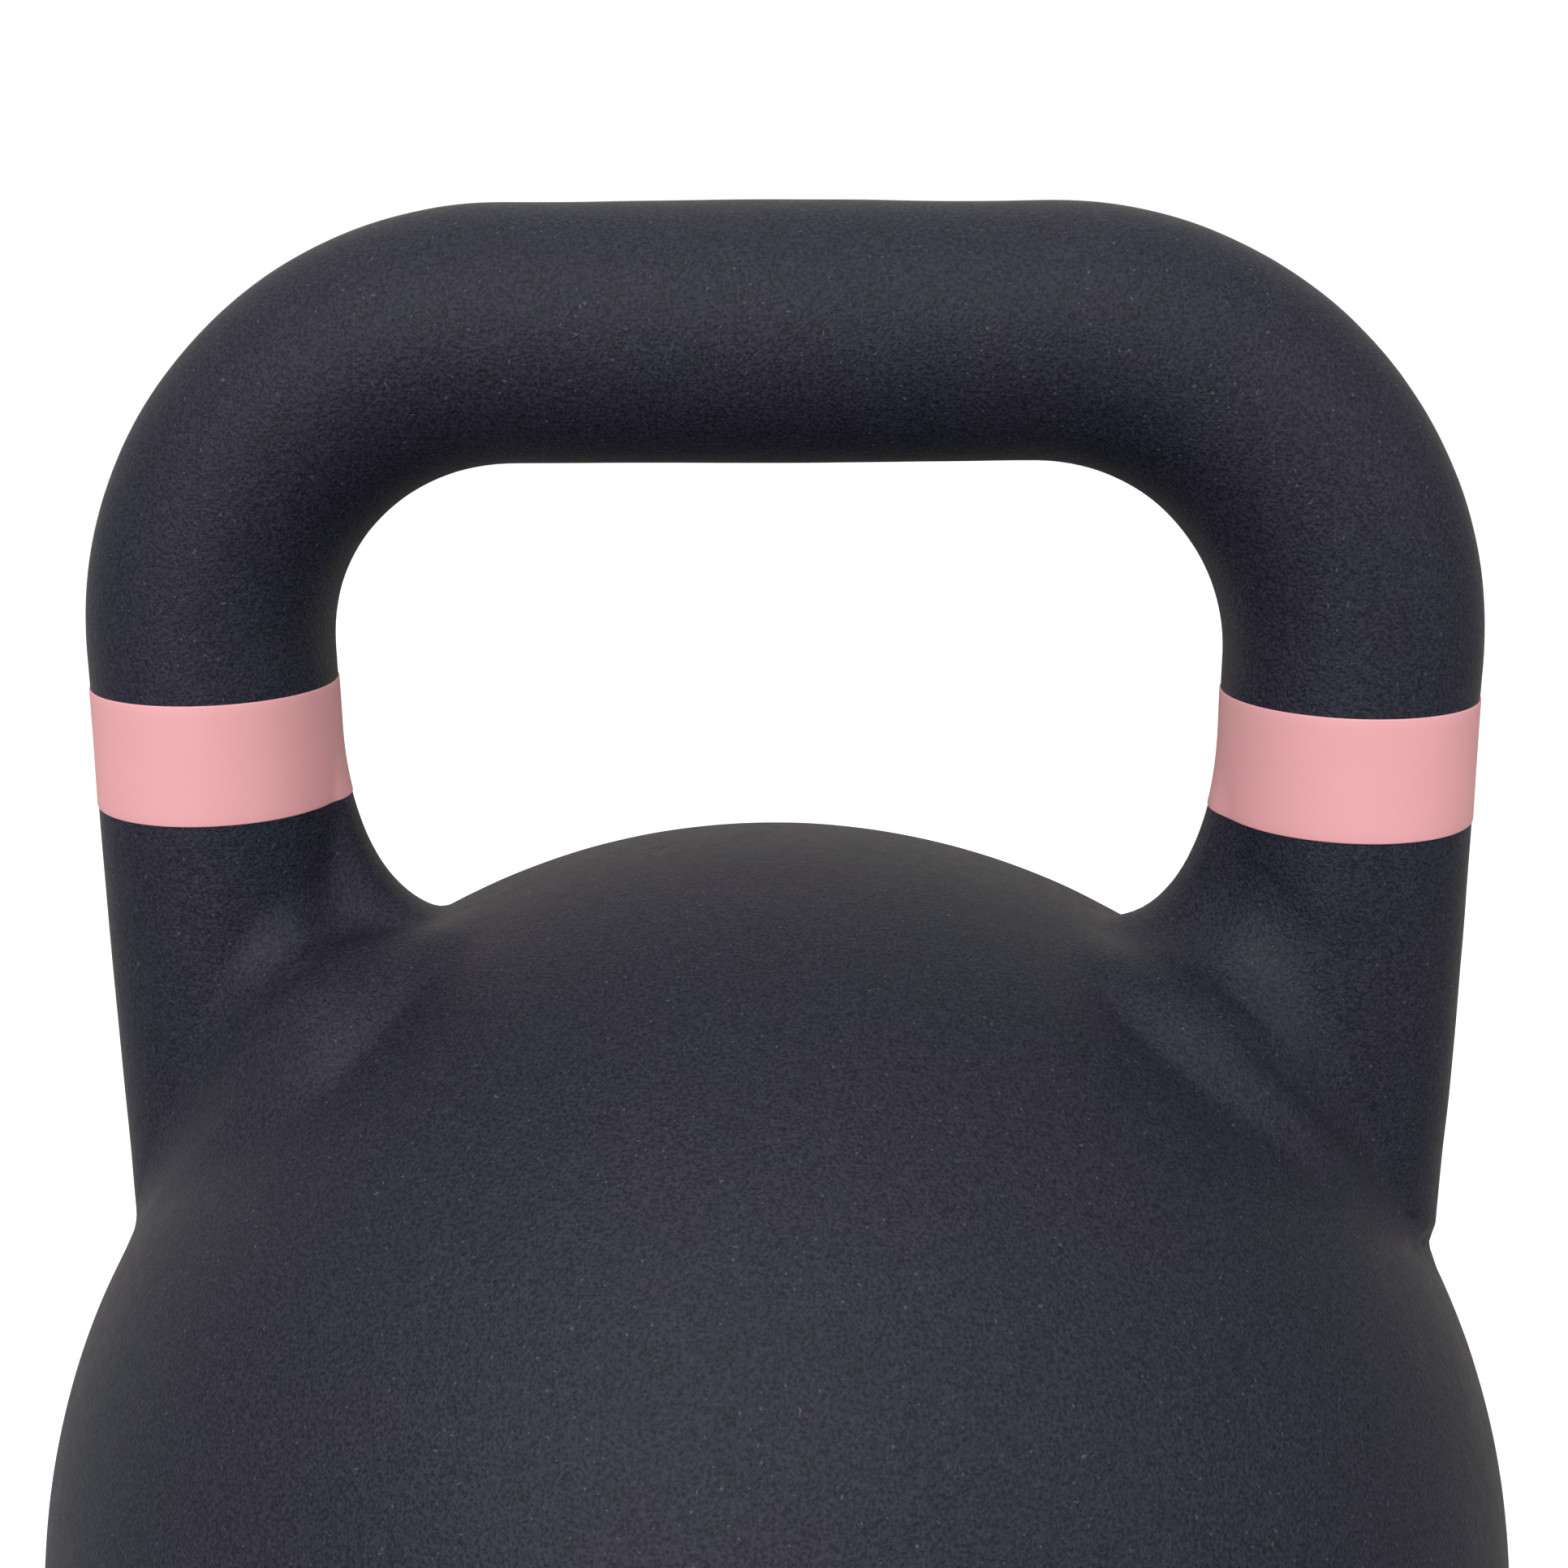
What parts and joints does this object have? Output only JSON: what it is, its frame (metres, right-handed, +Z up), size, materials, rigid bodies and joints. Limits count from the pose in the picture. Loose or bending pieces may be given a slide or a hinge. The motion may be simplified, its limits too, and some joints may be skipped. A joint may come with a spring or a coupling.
{
  "type": "kettlebell",
  "caption": "Competition-size kettlebell: hollow black ball and round-cornered handle in one casting, pink colour bands on the horns, flat base with a threaded plug.",
  "frame": {"origin": "centre of the flat base, on the surface the kettlebell stands on", "axes": "+Z up through the ball and the handle, +X along the grip bar, +Y through the handle's window"},
  "size_m": [0.21, 0.21, 0.2801],
  "materials": {
    "coated_casting": "matte",
    "colour_band": "satin",
    "plug_steel": "satin",
    "seal_rubber": "matte"
  },
  "bodies": {
    "root": {"body_casting": "coated_casting", "left_colour_band": "colour_band", "right_colour_band": "colour_band", "core_plug": "plug_steel", "plug_seal": "seal_rubber"}
  },
  "joints": []
}
